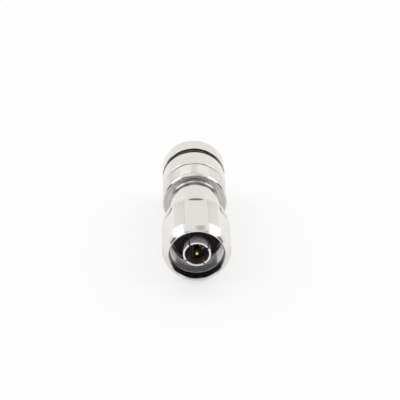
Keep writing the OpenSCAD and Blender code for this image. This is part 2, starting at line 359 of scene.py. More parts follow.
def spread(
    tree: Tree, value: Socket, low: float, high: float, first: float = 0.0, last: float = 1.0
) -> Socket:
    """Maps a number from one range to another and clamps it.

    Args:
        tree: The tree it goes in.
        value: The number.
        low: Where its range begins.
        high: Where its range ends.
        first: What it becomes at low.
        last: What it becomes at high.

    Returns:
        The mapped number.
    """
    node = tree.nodes.new("ShaderNodeMapRange")
    tree.links.new(value, node.inputs["Value"])
    limits = {"From Min": low, "From Max": high, "To Min": first, "To Max": last}
    for label, limit in limits.items():
        node.inputs[label].default_value = limit
    return node.outputs["Result"]


def noise(tree: Tree, place: Socket, scale: Socket | float, detail: float) -> Socket:
    """Adds a noise texture.

    Args:
        tree: The tree it goes in.
        place: Where it is read.
        scale: Its scale, as a number or a socket.
        detail: Its octaves.

    Returns:
        Its value.
    """
    node = tree.nodes.new("ShaderNodeTexNoise")
    node.inputs["Detail"].default_value = detail
    tree.links.new(place, node.inputs["Vector"])
    if isinstance(scale, Socket):
        tree.links.new(scale, node.inputs["Scale"])
    else:
        node.inputs["Scale"].default_value = scale
    return node.outputs["Fac"]


def mix_colours(tree: Tree, share: Socket, first: Socket | Triple, second: Triple) -> Socket:
    """Mixes two colours.

    Args:
        tree: The tree it goes in.
        share: How much of the second colour there is.
        first: The first colour, or a socket that gives it.
        second: The second colour.

    Returns:
        The mixed colour.
    """
    node = tree.nodes.new("ShaderNodeMix")
    node.data_type = "RGBA"
    tree.links.new(share, node.inputs["Factor"])
    if isinstance(first, Socket):
        tree.links.new(first, node.inputs["A"])
    else:
        node.inputs["A"].default_value = (*first, 1)
    node.inputs["B"].default_value = (*second, 1)
    return node.outputs["Result"]


def about_axis(tree: Tree, place: Socket) -> tuple[Socket, Socket, Socket, Socket]:
    """Splits a place about the plug's axis.

    Args:
        tree: The tree it goes in.
        place: The place.

    Returns:
        Its X, its station, its Z and its distance from the axis.
    """
    split = tree.nodes.new("ShaderNodeSeparateXYZ")
    tree.links.new(place, split.inputs[0])
    x, station, z = split.outputs
    squares = calc(tree, "ADD", calc(tree, "MULTIPLY", x, x), calc(tree, "MULTIPLY", z, z))
    return x, station, z, calc(tree, "SQRT", squares)


def turning_lines_group() -> Tree:
    """Fine rings that a lathe tool leaves round the axis, on walls and on faces."""
    wander, octaves = 40.0, 3.0
    group, given, result = new_group("turning_lines", {"Lines per metre": LATHE_LINES}, "Height")
    x, station, z, radius = about_axis(group, given["Place"])
    along = calc(group, "ADD", station, radius)
    join = group.nodes.new("ShaderNodeCombineXYZ")
    lines = calc(group, "MULTIPLY", along, given["Lines per metre"])
    group.links.new(lines, join.inputs[0])
    group.links.new(calc(group, "MULTIPLY", x, wander), join.inputs[1])
    group.links.new(calc(group, "MULTIPLY", z, wander), join.inputs[2])
    group.links.new(noise(group, join.outputs[0], 1.0, octaves), result)
    return group


def handling_marks_group() -> Tree:
    """Short hairline scratches, here and there."""
    lean, drawn_out, octaves = (0.5, 0.3, 0.9), (1.0, 0.22, 1.0), 2.0
    middle, half_width = 0.5, 0.004
    break_scale, break_edge = 1100.0, (0.54, 0.62)
    group, given, result = new_group("handling_marks", {"Scale": MARK_SCALE}, "Mask")
    stretch = group.nodes.new("ShaderNodeMapping")
    stretch.inputs["Rotation"].default_value = lean
    stretch.inputs["Scale"].default_value = drawn_out
    group.links.new(given["Place"], stretch.inputs["Vector"])
    grain = noise(group, stretch.outputs[0], given["Scale"], octaves)
    off_line = calc(group, "ABSOLUTE", calc(group, "SUBTRACT", grain, middle))
    line = spread(group, off_line, 0.0, half_width, 1.0, 0.0)
    breaks = noise(group, given["Place"], break_scale, octaves)
    broken = spread(group, breaks, *break_edge)
    group.links.new(calc(group, "MULTIPLY", line, broken), result)
    return group


def cloud_group() -> Tree:
    """Broad soft patches where a coating or a moulding varies."""
    octaves, edge = 4.0, (0.35, 0.65)
    group, given, result = new_group("cloud", {"Scale": CLOUD_SCALE}, "Mask")
    patches = noise(group, given["Place"], given["Scale"], octaves)
    group.links.new(spread(group, patches, *edge), result)
    return group


def recess_shade_and_dull_group() -> Tree:
    """Bores and recesses, told by their radius and station: a mask that paints shade there and
    roughens the plating.
    """
    patch_scale, octaves, patch_edge = 500.0, 4.0, (0.3, 0.7)
    ragged, fade = 0.1 * MM, 0.15 * MM
    group, given, result = new_group("recess_shade_and_dull", {"Radius": 0.0, "Front": 0.0, "Rear": 1.0}, "Mask")
    _, station, _, radius = about_axis(group, given["Place"])
    inside = calc(group, "SUBTRACT", given["Radius"], radius)
    behind = calc(group, "SUBTRACT", station, given["Front"])
    ahead = calc(group, "SUBTRACT", given["Rear"], station)
    depth = calc(group, "MINIMUM", calc(group, "MINIMUM", inside, behind), ahead)
    patches = noise(group, given["Place"], patch_scale, octaves)
    depth = calc(group, "ADD", depth, spread(group, patches, *patch_edge, -ragged, ragged))
    group.links.new(spread(group, depth, 0.0, fade), result)
    return group


@dataclass
class Effects:
    """The node groups, built once."""

    turning_lines: Tree = field(default_factory=turning_lines_group)
    handling_marks: Tree = field(default_factory=handling_marks_group)
    cloud: Tree = field(default_factory=cloud_group)
    recess_shade_and_dull: Tree = field(default_factory=recess_shade_and_dull_group)


@dataclass(frozen=True)
class Finish:
    """A surface finish with its own procedural material and, in millimetres, its zone of painted
    shade and rougher plating.
    """

    slot: str
    colour: Triple
    cloud_colour: Triple
    metallic: float
    roughness: float
    rougher: float
    lines: float = LATHE_LINES
    line_height: float = 0.4
    mark_height: float = 0.3
    cloud_scale: float = CLOUD_SCALE
    name: str = ""
    painted_shade_colour: Triple = (0.0, 0.0, 0.0)
    shade_and_dull_radius: float = 0.0
    shade_and_dull_front: float = 0.0
    shade_and_dull_rear: float = 100.0
    painted_shade_share: float = 0.85
    groove_shade: float = 0.0

    def material(self, effects: Effects) -> bpy.types.Material:
        """Builds the material on Object coordinates.

        Args:
            effects: The shared node groups.

        Returns:
            The material.
        """
        material = bpy.data.materials.new(self.name or self.slot)
        material.use_nodes = True
        tree = material.node_tree
        shader = tree.nodes["Principled BSDF"]
        shader.inputs["Metallic"].default_value = self.metallic
        place = tree.nodes.new("ShaderNodeTexCoord").outputs["Object"]
        cloud = self.effect(tree, effects.cloud, place, "Scale", self.cloud_scale)
        marks = self.effect(tree, effects.handling_marks, place, "Scale", MARK_SCALE)
        lines = self.effect(tree, effects.turning_lines, place, "Lines per metre", self.lines)
        colour = mix_colours(tree, cloud, self.colour, self.cloud_colour)
        uneven = calc(tree, "ADD", cloud, marks)
        # Painted shade: inside the zone, and on marked grip grooves, the colour darkens towards the
        # painted shade colour; the plating also roughens in the zone
        if self.shade_and_dull_radius:
            recess_shade_and_dull = self.effect(tree, effects.recess_shade_and_dull, place, "Radius", self.shade_and_dull_radius * MM)
            recess_shade_and_dull.node.inputs["Front"].default_value = self.shade_and_dull_front * MM
            recess_shade_and_dull.node.inputs["Rear"].default_value = self.shade_and_dull_rear * MM
            share = calc(tree, "MULTIPLY", recess_shade_and_dull, self.painted_shade_share)
            if self.groove_shade:
                groove = tree.nodes.new("ShaderNodeAttribute")
                groove.attribute_name = GROOVE
                groove_shade = calc(tree, "MULTIPLY", groove.outputs["Fac"], self.groove_shade)
                share = calc(tree, "MAXIMUM", share, groove_shade)
            colour = mix_colours(tree, share, colour, self.painted_shade_colour)
            uneven = calc(tree, "ADD", uneven, recess_shade_and_dull)
        tree.links.new(colour, shader.inputs["Base Color"])
        uneven = calc(tree, "MULTIPLY", uneven, self.rougher)
        tree.links.new(calc(tree, "ADD", uneven, self.roughness), shader.inputs["Roughness"])
        lines = calc(tree, "MULTIPLY", lines, self.line_height)
        height = calc(tree, "SUBTRACT", lines, calc(tree, "MULTIPLY", marks, self.mark_height))
        bump = tree.nodes.new("ShaderNodeBump")
        bump.inputs["Distance"].default_value = BUMP_DEPTH * MM
        tree.links.new(height, bump.inputs["Height"])
        tree.links.new(bump.outputs["Normal"], shader.inputs["Normal"])
        return material

    @staticmethod
    def effect(tree: Tree, group: Tree, place: Socket, label: str, value: float) -> Socket:
        """Places a shared effect in a material.

        Args:
            tree: The material's tree.
            group: The effect.
            place: Where it is read.
            label: Its number input.
            value: The number.

        Returns:
            Its output.
        """
        node = tree.nodes.new("ShaderNodeGroup")
        node.node_tree = group
        tree.links.new(place, node.inputs["Place"])
        node.inputs[label].default_value = value
        return node.outputs[0]


BRIGHT_NICKEL = Finish(
    "polished_nickel", (0.83, 0.815, 0.79), (0.80, 0.785, 0.755), 1.0, 0.13, 0.05
)


class Slot(Enum):
    """The record's material slots and their finishes."""

    NICKEL = BRIGHT_NICKEL
    # Painted shade on the barrel's front face, its hollow blend and the bores behind it
    BODY_NICKEL = replace(
        BRIGHT_NICKEL, name="body_nickel",
        painted_shade_colour=(0.58, 0.57, 0.565), shade_and_dull_radius=9.88, shade_and_dull_front=28.2,
    )
    # Painted shade in the coupling nut's bore and thread, and in the grip's grooves
    NUT_NICKEL = replace(
        BRIGHT_NICKEL, name="nut_nickel",
        painted_shade_colour=(0.62, 0.61, 0.62), shade_and_dull_radius=8.3, shade_and_dull_front=-9.0, groove_shade=0.3,
    )
    # Painted shade, near brown-black, on the clamp nut's shank, thread and undercut before its head
    CLAMP_NICKEL = replace(
        BRIGHT_NICKEL, name="clamp_nickel",
        painted_shade_colour=(0.28, 0.25, 0.235), shade_and_dull_radius=10.2, shade_and_dull_rear=46.47,
    )
    # Painted shade over the outer contact behind its front edge
    SILVER = Finish(
        "silver_plate", (0.90, 0.89, 0.88), (0.84, 0.83, 0.81), 1.0, 0.16, 0.08,
        painted_shade_colour=(0.64, 0.62, 0.63), shade_and_dull_radius=20.0, shade_and_dull_front=0.1,
    )
    # Painted shade, dark brown, on the pin behind its tip
    GOLD = Finish(
        "gold_plate", (0.85, 0.66, 0.36), (0.80, 0.60, 0.30), 1.0, 0.15, 0.06,
        painted_shade_colour=(0.20, 0.11, 0.05), shade_and_dull_radius=20.0, shade_and_dull_front=1.0,
    )
    BRONZE = Finish("spring_bronze", (0.60, 0.38, 0.20), (0.52, 0.32, 0.17), 1.0, 0.25, 0.10)
    BRASS = Finish("bare_brass", (0.72, 0.55, 0.28), (0.64, 0.47, 0.22), 1.0, 0.22, 0.10)
    INSULATION = Finish(
        "white_insulation", (0.86, 0.86, 0.83), (0.81, 0.81, 0.78), 0.0, 0.42, 0.08,
        lines=4000.0, line_height=0.5, mark_height=0.1, cloud_scale=300.0,
    )
    BLACK_RUBBER = Finish(
        "black_rubber", (0.055, 0.053, 0.062), (0.07, 0.068, 0.075), 0.0, 0.55, 0.12,
        lines=2500.0, line_height=0.3, mark_height=0.1, cloud_scale=600.0,
    )
    RED_RUBBER = Finish(
        "red_rubber", (0.38, 0.055, 0.03), (0.31, 0.045, 0.028), 0.0, 0.48, 0.12,
        lines=2500.0, line_height=0.3, mark_height=0.1, cloud_scale=600.0,
    )


class Workshop:
    """Holds the materials and gives each piece its own, with its slot, body and nodes."""

    def __init__(self) -> None:
        """Builds every material once."""
        effects = Effects()
        self.materials = {slot: slot.value.material(effects) for slot in Slot}

    def coat(self, piece: Piece, slot: Slot) -> None:
        """Puts one finish all over a piece."""
        piece.data.materials.clear()
        piece.data.materials.append(self.materials[slot])

    def dress(self, piece: Piece, slot: Slot, body: Body, *nodes: str) -> None:
        """Gives a finished piece its material and its place in the frame.

        Args:
            piece: The piece.
            slot: Its finish.
            body: The body that it rides on.
            nodes: CAD nodes that it stands for.
        """
        self.coat(piece, slot)
        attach(piece, body.value)
        if nodes:
            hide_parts(*nodes)
        log.info("%s: %d faces on %s", piece.name, len(piece.data.polygons), body.value)

    def dress_node(self, node: str, slot: Slot) -> None:
        """Gives a CAD node that keeps its own mesh its finish.

        Args:
            node: Name of the node.
            slot: Its finish.
        """
        self.coat(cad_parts[node], slot)
        log.info("%s: CAD mesh, %s", node, slot.value.slot)


# ---- Pieces ----


@dataclass
class CouplingNut:
    """The knurled, flatted nut, with its collar, bore and inner thread."""

    place: Stretch = Stretch.read("coupling_nut")
    outer: float = field(default_factory=lambda: Stretch.of("main_body").radius)
    seat: float = field(default_factory=lambda: Stretch.of("interface_gasket").front)
    flat_depth: float = 0.6
    ridges: int = 7
    ridge_depth: float = 0.25
    flat_columns: int = 17
    nose: float = 5.0
    nose_reach: float = 3.75
    nose_proud: float = 0.05
    nose_parts: int = 36
    collar: float = 1.8
    collar_inset: float = 0.2
    collar_slope: float = 0.15
    collar_chamfer: float = 0.6
    mouth: float = 8.05
    mouth_chamfer: float = 0.2
    mouth_depth: float = 3.3
    thread_start: float = 0.2
    thread_lead: float = 0.12
    thread_sink: float = 0.05
    thread_major: float = 7.94
    thread_minor: float = 7.367
    thread_pitch: float = 1.058
    thread_runout: float = 1.4
    relief: float = 8.1
    relief_length: float = 3.0
    relief_slope: float = 0.2
    bore: float = 7.95
    bore_chamfer: float = 0.1
    shade: float = 12.0

    @property
    def nose_axis(self) -> Point:
        """Centre of the nose's round in the half section."""
        return self.outer + self.nose_proud - self.nose, self.place.front + self.nose_reach

    def columns(self) -> list[Point]:
        """Places the grip's ridges on its six corners, and points along its six flats.

        Returns:
            The angle in degrees and the radius of each column of the mesh.
        """
        flat = self.outer - self.flat_depth
        half = HEX / 2 - math.degrees(math.acos(flat / self.outer))
        flat_step = (HEX - 2 * half) / (self.flat_columns + 1)
        columns = []
        for corner in (HEX * i for i in range(6)):
            for i in range(2 * self.ridges + 1):
                angle = corner - half + i * half / self.ridges
                columns.append((angle, self.outer - (i % 2) * self.ridge_depth))
            for i in range(1, self.flat_columns + 1):
                angle = corner + half + i * flat_step
                across = math.cos(math.radians(angle - corner - HEX / 2))
                columns.append((angle, flat / across))
        return columns

    def section(self) -> Section:
        """Half section of the nut: nose, grip, collar and bore."""
        front, rear, mouth = self.place.front, self.place.rear, self.mouth
        collar_front, collar_r = rear - self.collar, self.outer - self.collar_inset
        thread_front, thread_rear = front + self.mouth_depth, self.seat - self.thread_runout
        relief_rear = thread_rear + self.relief_length
        nose_start = -math.degrees(math.asin(self.nose_reach / self.nose))
        return [
            *arc(self.nose_axis, self.nose, nose_start, 0, self.nose_parts),
            (self.outer, collar_front - self.collar_slope), (collar_r, collar_front),
            (collar_r, rear - self.collar_chamfer), (collar_r - self.collar_chamfer, rear),
            (self.bore + self.bore_chamfer, rear), (self.bore, rear - self.bore_chamfer),
            (self.bore, relief_rear), (self.relief, relief_rear),
            (self.relief, thread_rear + self.relief_slope), (self.thread_major, thread_rear),
            (self.thread_major, thread_front + self.thread_lead), (mouth, thread_front),
            (mouth, front + self.mouth_chamfer), (mouth + self.mouth_chamfer, front),
        ]

    def shape_grip(self, nut: Piece) -> None:
        """Draws the columns to the ridges and flats, and runs the nose out on each of them.

        Args:
            nut: The round nut, with one column of corners for each of the grip's.
        """
        columns = self.columns()
        axis_r, centre = self.nose_axis
        collar_front = self.place.rear - self.collar
        start = math.asin(self.nose_reach / self.nose)
        nose_front_r = axis_r + self.nose * math.cos(start)
        groove = nut.data.attributes.new(GROOVE, "FLOAT", "POINT")
        for vertex in nut.data.vertices:
            x, y, z = (value / MM for value in vertex.co)
            radius, column = math.hypot(x, z), round(math.atan2(z, x) / math.tau * len(columns))
            angle, grip = columns[column % len(columns)]
            if y < collar_front - NEAR and radius > nose_front_r - NEAR:
                if y < centre + NEAR:
                    share = 1 - math.asin(min(1.0, (centre - y) / self.nose)) / start
                    lean = start + share * (math.acos((grip - axis_r) / self.nose) - start)
                    radius = axis_r + self.nose * math.cos(lean)
                    y = centre - self.nose * math.sin(lean)
                else:
                    radius = grip
                    # Marks the grip's grooves, where the nut's material paints shade
                    in_groove = abs(self.outer - self.ridge_depth - grip) < SAME
                    groove.data[vertex.index].value = float(in_groove)
            a = math.radians(angle)
            vertex.co = (radius * math.cos(a) * MM, y * MM, radius * math.sin(a) * MM)

    def build(self, workshop: Workshop) -> None:
        """Shapes the nut and its thread and dresses them.

        Args:
            workshop: Gives them their finish.
        """
        nut = turn("coupling_nut_dressed", self.section(), steps=len(self.columns()))
        self.shape_grip(nut)
        soften(nut, 0, shade=self.shade)
        workshop.dress(nut, Slot.NUT_NICKEL, Body.COUPLING, "coupling_nut")
        thread = Thread(
            self.thread_major + self.thread_sink, self.thread_minor, self.thread_pitch,
            self.place.front + self.mouth_depth + self.thread_start,
            self.seat - self.thread_runout,
        ).build("coupling_nut_thread")
        soften(thread, 0)
        workshop.dress(thread, Slot.NUT_NICKEL, Body.COUPLING)


@dataclass
class MainBody:
    """Neck, hollow blend and barrel, with the diamond-knurled band."""

    place: Stretch = Stretch.read("main_body")
    clamp: Stretch = Stretch.read("clamp_nut")
    nut_rear: float = field(default_factory=lambda: Stretch.of("coupling_nut").rear)
    snap: Stretch = Stretch.read("coupling_snap_ring")
    seal: Stretch = Stretch.read("coupling_seal")
    insulator: Stretch = Stretch.read("rear_insulator")
    contact: Stretch = Stretch.read("outer_contact")
    braid: Stretch = Stretch.read("braid_clamp")
    neck: float = 7.85
    neck_length: float = 12.05
    chamfer: float = 0.2
    rounding: float = 0.04
    fillet: float = 0.7
    fillet_parts: int = 10
    bead: float = 0.5
    snap_groove: float = 7.2
    snap_play: float = 0.05
    seal_groove: float = 7.0
    seal_groove_width: float = 1.4
    thread_bore: float = 9.05
    thread_lead: float = 2.7
    clamp_bore: float = 8.2
    cone_setback: float = 2.05
    core_bore: float = 3.5
    band_setback: float = 1.45
    band_length: float = 5.96
    band_line: float = 0.18
    knurl_gap: float = 0.28
    columns: int = 140
    rows: int = 13
    knurl_depth: float = 0.15
    bed_depth: float = 0.35
    knurl_root: float = 0.3
    diamond_top: float = 75.0

    @property
    def barrel_front(self) -> float:
        """Station of the barrel's front face."""
        return self.nut_rear + self.neck_length

    def outline(self) -> Section:
        """Corners of the outside, from the neck's front face to the barrel's rear face."""
        face, rear, r = self.place.front, self.place.rear, self.place.radius
        barrel, neck, chamfer = self.barrel_front, self.neck, self.chamfer
        snap_front, snap_rear = self.snap.front - self.snap_play, self.snap.rear + self.snap_play
        seal_front = (self.seal.front + self.seal.rear - self.seal_groove_width) / 2
        seal_rear = seal_front + self.seal_groove_width
        fillet_axis = (neck + self.fillet, barrel - self.fillet)
        bed_front = barrel + self.band_setback - self.band_line
        bed_rear, bed = bed_front + self.band_length + 2 * self.band_line, r - self.bed_depth
        return [
            (neck - chamfer, face), (neck, face + chamfer),
            (neck, snap_front), (self.snap_groove, snap_front),
            (self.snap_groove, snap_rear), (neck, snap_rear),
            (neck, seal_front), (self.seal_groove, seal_front),
            (self.seal_groove, seal_rear), (neck, seal_rear),
            *arc(fillet_axis, self.fillet, 180, 90, self.fillet_parts),
            (r - self.bead, barrel), (r, barrel + self.bead),
            (r, bed_front), (bed, bed_front), (bed, bed_rear), (r, bed_rear),
            (r, rear - chamfer), (r - chamfer, rear),
        ]

    def bores(self) -> Section:
        """Corners of the bores, from the rear face back to the front one."""
        rear, chamfer, thread = self.place.rear, self.chamfer, self.thread_bore
        chamber, core, seat = self.insulator.radius, self.core_bore, self.contact.radius
        thread_front = self.clamp.front - self.thread_lead
        return [
            (thread + chamfer, rear), (thread, rear - chamfer), (thread, thread_front),
            (self.clamp_bore, thread_front),
            (self.clamp_bore, self.barrel_front + self.cone_setback),
            (chamber, self.braid.front), (chamber, self.insulator.front),
            (core, self.insulator.front), (core, self.contact.rear),
            (seat, self.contact.rear), (seat, self.place.front),
        ]

    def knurl(self) -> Piece:
        """Raises every other corner of a fine grid and cuts its tip, to leave flat diamonds.

        Returns:
            The knurled ring.
        """
        front = self.barrel_front + self.band_setback + self.knurl_gap
        length = self.band_length - 2 * self.knurl_gap
        valley = self.place.radius - self.knurl_depth
        stations = [front + length * i / self.rows for i in range(self.rows + 1)]
        section = [(valley, station) for station in stations]
        root = valley - self.knurl_root
        section += [(root, stations[-1]), (root, stations[0])]
        ring = turn("body_diamond_knurl", section, steps=self.columns)
        for vertex in ring.data.vertices:
            vertex.select = self.is_peak(vertex.co, valley, stations)
        for part in (*ring.data.edges, *ring.data.polygons):
            part.select = False
        bpy.context.tool_settings.mesh_select_mode = (True, False, False)
        bpy.ops.object.mode_set(mode="EDIT")
        growth = 1 + self.knurl_depth / (1 - self.diamond_top / 100) / valley
        bpy.ops.transform.resize(value=(growth, 1, growth), center_override=(0, 0, 0))
        bpy.ops.mesh.select_all(action="SELECT")
        bpy.ops.mesh.quads_convert_to_tris(quad_method="SHORTEST_DIAGONAL")
        bpy.ops.mesh.select_all(action="DESELECT")
        bpy.ops.object.mode_set(mode="OBJECT")
        for vertex in ring.data.vertices:
            radius = math.hypot(vertex.co.x, vertex.co.z) / MM
            vertex.select = radius > valley + self.knurl_depth
        bpy.ops.object.mode_set(mode="EDIT")
        bpy.ops.mesh.bevel(
            offset_type="PERCENT", offset_pct=self.diamond_top, affect="VERTICES"
        )
        bpy.ops.object.mode_set(mode="OBJECT")
        return ring

    def is_peak(self, place: Vector, valley: float, stations: list[float]) -> bool:
        """Whether a corner of the grid is the tip of a diamond.

        Args:
            place: The corner, in metres.
            valley: Radius of the grid in millimetres.
            stations: Stations of its rows in millimetres.

        Returns:
            True for every other corner, apart from the outermost rows and the inner wall.
        """
        if math.hypot(place.x, place.z) / MM < valley - NEAR:
            return False
        row = round((place.y / MM - stations[0]) / (stations[1] - stations[0]))
        column = round(math.atan2(place.z, place.x) / math.tau * self.columns)
        return 0 < row < self.rows and (row + column) % 2 == 0

    def build(self, workshop: Workshop) -> None:
        """Shapes the body and its band and dresses them.

        Args:
            workshop: Gives them their finish.
        """
        body = turn("main_body_dressed", self.outline() + self.bores())
        soften(body, self.rounding)
        workshop.dress(body, Slot.BODY_NICKEL, Body.PLUG, "main_body")
        workshop.dress(self.knurl(), Slot.NICKEL, Body.PLUG, "main_body")


@dataclass
class MatingFace:
    """Outer contact, pin and the gasket that the jack seats on."""

    ring: Stretch = Stretch.read("outer_contact")
    pin: Stretch = Stretch.read("centre_contact")
    bead: Stretch = Stretch.read("front_insulator")
    gasket: Stretch = Stretch.read("interface_gasket")
    rear_bead: Stretch = Stretch.read("rear_insulator")
    finger: float = 4.1
    finger_edge: float = 0.06
    finger_relief: float = 0.2
    finger_slope: float = 0.15
    ring_bore: float = 3.5
    ring_bore_edge: float = 0.1
    ring_rounding: float = 0.03
    land: float = 7.0
    slots: int = 4
    slot_width: float = 0.5
    slot_length: float = 8.0
    slot_reach: float = 4.0
    slot_angle: float = 33.0
    axis_r: float = 0.02
    pin_r: float = 0.825
    pin_rear: float = 5.3
    tip_r: float = 0.45
    tip_round: float = 0.2
    tip_parts: int = 5
    tip_length: float = 1.1
    conductor_r: float = 1.52
    conductor_edge: float = 0.15
    pin_collar: float = 1.0
    cup_r: float = 1.9
    cup_bore: float = 1.425
    cup_cone: float = 0.4
    pin_steps: int = 96
    pin_rounding: float = 0.02
    gasket_edge: float = 0.1

    @property
    def finger_root(self) -> float:
        """Radius of the fingers behind their land, where the gasket sits."""
        return self.finger - self.finger_relief

    def contact(self) -> Piece:
        """Turns the spring ring and saws its slots.

        Returns:
            The slotted ring.
        """
        front, rear, root = self.ring.front, self.ring.rear, self.finger_root
        ring = turn("outer_contact_dressed", [
            (self.ring_bore + self.ring_bore_edge, front), (self.finger - self.finger_edge, front),
            (self.finger, front + self.finger_edge), (self.finger, self.land),
            (root, self.land + self.finger_slope), (root, self.gasket.rear),
            (self.ring.radius, self.gasket.rear), (self.ring.radius, rear),
            (self.bead.radius, rear), (self.bead.radius, self.bead.front),
            (self.ring_bore, self.bead.front), (self.ring_bore, front + self.ring_bore_edge),
        ])
        for i in range(self.slots):
            angle = math.radians(self.slot_angle) + math.tau * i / self.slots
            select_none()
            bpy.ops.mesh.primitive_cube_add(size=MM)
            saw = bpy.context.active_object
            saw.scale = (self.slot_reach, self.slot_length * 2, self.slot_width)
            reach = self.slot_reach * MM
            saw.location = (reach * math.cos(angle), front * MM, reach * math.sin(angle))
            saw.rotation_euler = (0, -angle, 0)
            bpy.ops.object.transform_apply(location=True, rotation=True, scale=True)
            saw_out(ring, saw)
        return ring

    def contact_pin(self) -> Piece:
        """Turns the pin with its round tip, its collar and the cup for the cable's centre wire.

        Returns:
            The pin.
        """
        front, rear, r = self.pin.front, self.pin.rear, self.pin.radius
        cup_front = self.rear_bead.front
        collar_front = cup_front - self.pin_collar
        tip_axis = (self.tip_r - self.tip_round, front + self.tip_round)
        return turn("centre_contact_dressed", [
            (self.axis_r, front), *arc(tip_axis, self.tip_round, -90, -20, self.tip_parts),
            (self.pin_r, front + self.tip_length), (self.pin_r, self.pin_rear),
            (self.conductor_r - self.conductor_edge, self.pin_rear),
            (self.conductor_r, self.pin_rear + self.conductor_edge),
            (self.conductor_r, collar_front), (r, collar_front), (r, cup_front),
            (self.cup_r, cup_front), (self.cup_r, rear), (self.cup_bore, rear),
            (self.cup_bore, cup_front + self.cup_cone), (self.axis_r, cup_front),
        ], steps=self.pin_steps, solid=True)

    def jack_gasket(self) -> Piece:
        """Turns the gasket with its four edges broken.

        Returns:
            The gasket.
        """
        front, rear, r = self.gasket.front, self.gasket.rear, self.gasket.radius
        bore, edge = self.finger_root, self.gasket_edge
        return turn("interface_gasket_dressed", [
            (bore + edge, front), (r - edge, front), (r, front + edge), (r, rear - edge),
            (r - edge, rear), (bore + edge, rear), (bore, rear - edge), (bore, front + edge),
        ])

    def build(self, workshop: Workshop) -> None:
        """Shapes the three pieces and dresses them.

        Args:
            workshop: Gives them their finish.
        """
        contact = self.contact()
        soften(contact, self.ring_rounding)
        workshop.dress(contact, Slot.SILVER, Body.PLUG, "outer_contact")
        pin = self.contact_pin()
        soften(pin, self.pin_rounding)
        workshop.dress(pin, Slot.GOLD, Body.PLUG, "centre_contact")
        gasket = self.jack_gasket()
        soften(gasket, 0)
        workshop.dress(gasket, Slot.BLACK_RUBBER, Body.PLUG, "interface_gasket")


@dataclass
class ClampNut:
    """The clamp nut's threaded shank and plain head, and the ring seal in its undercut."""

    place: Stretch = Stretch.read("clamp_nut")
    seal: Stretch = Stretch.read("clamp_nut_seal")
    cable_seal: Stretch = Stretch.read("cable_seal")
    head_length: float = 5.8
    head_front_chamfer: float = 0.08
    head_rear_chamfer: float = 0.4
    shank: float = 9.0
    shank_chamfer: float = 0.2
    rounding: float = 0.05
    thread_depth: float = 0.6
    thread_pitch: float = 1.0
    thread_start: float = 0.1
    thread_sink: float = 0.05
    undercut: float = 8.1
    undercut_length: float = 1.1
    cable_bore: float = 5.4
    seal_corners: int = 24

    def ring_seal(self) -> Piece:
        """Turns the round ring that lies in the undercut.

        Returns:
            The ring.
        """
        section = (self.seal.rear - self.seal.front) / 2
        centre = (self.seal.radius - section, (self.seal.front + self.seal.rear) / 2)
        parts = self.seal_corners - 1
        end = 360 * parts / self.seal_corners
        return turn("clamp_nut_seal_dressed", arc(centre, section, 0, end, parts))

    def build(self, workshop: Workshop) -> None:
        """Shapes the nut, its thread and its seal and dresses them.

        Args:
            workshop: Gives them their finish.
        """
        front, rear, r = self.place.front, self.place.rear, self.place.radius
        head = rear - self.head_length
        core = self.shank - self.thread_depth
        undercut_front = head - self.undercut_length
        nut = turn("clamp_nut_dressed", [
            (self.cable_bore, front), (core - self.shank_chamfer, front),
            (core, front + self.shank_chamfer), (core, undercut_front),
            (self.undercut, undercut_front), (self.undercut, head),
            (r - self.head_front_chamfer, head), (r, head + self.head_front_chamfer),
            (r, rear - self.head_rear_chamfer), (r - self.head_rear_chamfer, rear),
            (self.cable_seal.radius, rear), (self.cable_seal.radius, self.cable_seal.front),
            (self.cable_bore, self.cable_seal.front),
        ])
        soften(nut, self.rounding)
        workshop.dress(nut, Slot.CLAMP_NICKEL, Body.CLAMP, "clamp_nut")
        thread = Thread(
            core - self.thread_sink, self.shank, self.thread_pitch,
            front + self.thread_start, undercut_front,
        ).build("clamp_nut_thread")
        soften(thread, 0)
        workshop.dress(thread, Slot.CLAMP_NICKEL, Body.CLAMP)
        seal = self.ring_seal()
        soften(seal, 0)
        workshop.dress(seal, Slot.BLACK_RUBBER, Body.CLAMP, "clamp_nut_seal")


@dataclass
class InnerPieces:
    """The pieces that keep their CAD mesh and take a finish."""

    finishes: dict[Slot, tuple[str, ...]] = field(default_factory=lambda: {
        Slot.BRONZE: ("coupling_snap_ring",),
        Slot.INSULATION: ("front_insulator", "rear_insulator", "dielectric_washer"),
        Slot.BRASS: (
            "insulator_retainer", "braid_sleeve", "braid_clamp",
            "gasket_washer", "thrust_washer", "seal_retainer",
        ),
        Slot.BLACK_RUBBER: ("coupling_seal", "cable_seal"),
        Slot.RED_RUBBER: ("cable_gasket",),
    })

    def build(self, workshop: Workshop) -> None:
        """Dresses each node.

        Args:
            workshop: Gives them their finish.
        """
        for slot, nodes in self.finishes.items():
            for node in nodes:
                workshop.dress_node(node, slot)


# ---- Studio ----


